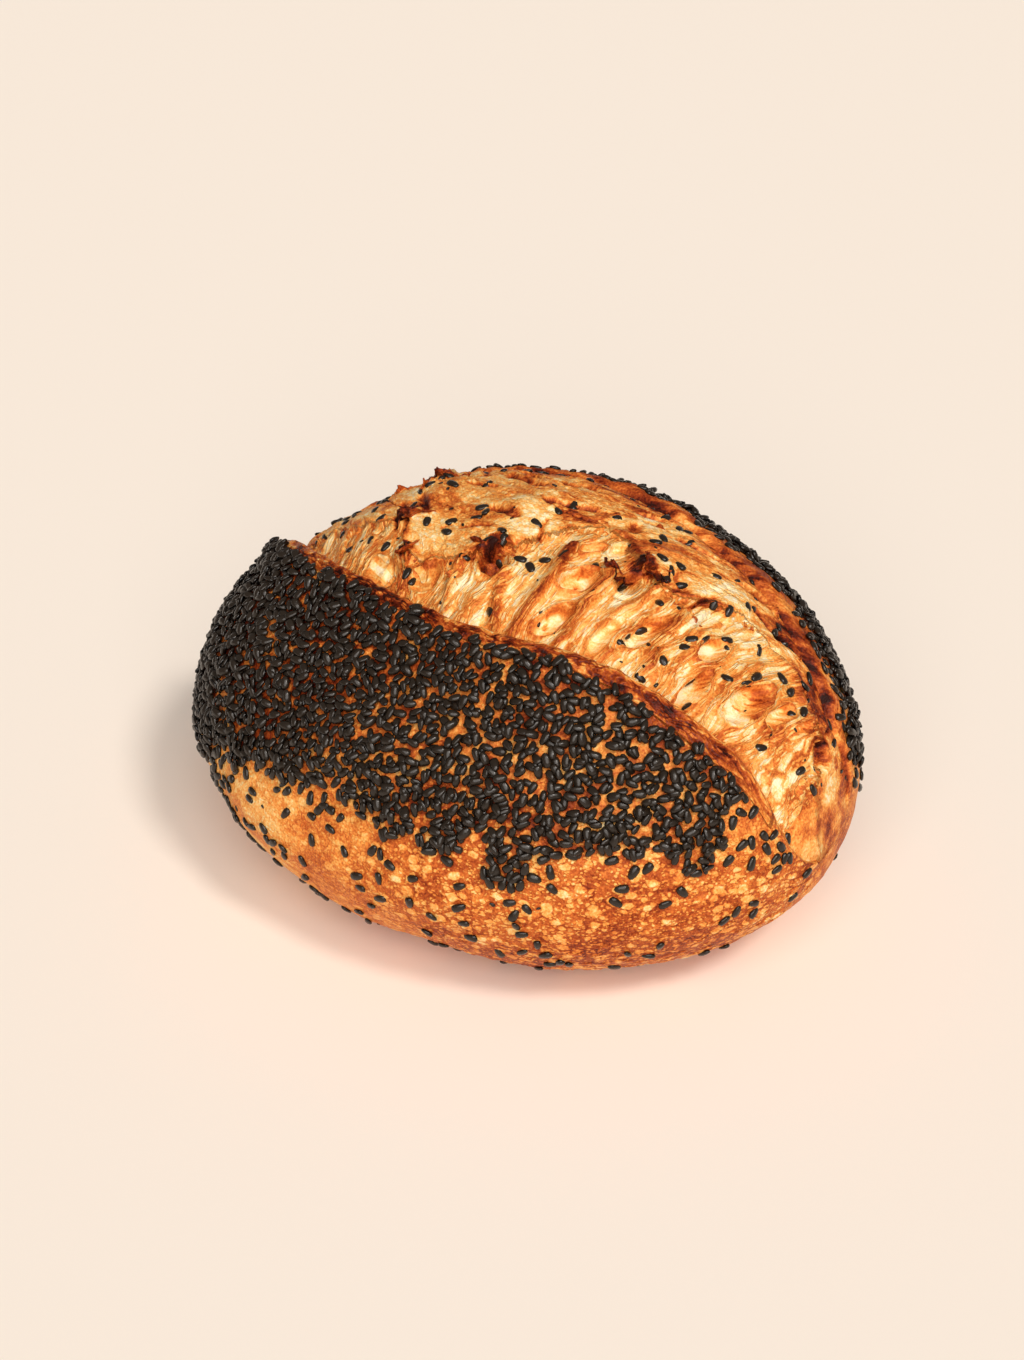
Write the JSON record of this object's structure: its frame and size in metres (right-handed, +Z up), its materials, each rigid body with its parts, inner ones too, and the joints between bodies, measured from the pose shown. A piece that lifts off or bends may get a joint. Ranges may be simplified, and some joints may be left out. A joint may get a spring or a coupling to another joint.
{
  "type": "sourdough loaf",
  "caption": "Oval crusty loaf with one long slash opened into a raised ear of seeded crust in front and torn crumb behind it.",
  "frame": {"origin": "middle of the bread's footprint box, on the surface that the loaf stands on", "axes": "+X along the slash towards the fuller end, +Z up, the ear of crust faces -Y"},
  "size_m": [0.1806, 0.1454, 0.0979],
  "materials": {
    "crust": "baked brown crust and torn golden crumb, slightly glossy",
    "sesame": "toasted black sesame, satin"
  },
  "bodies": {
    "root": {"loaf": "crust"}
  },
  "joints": []
}
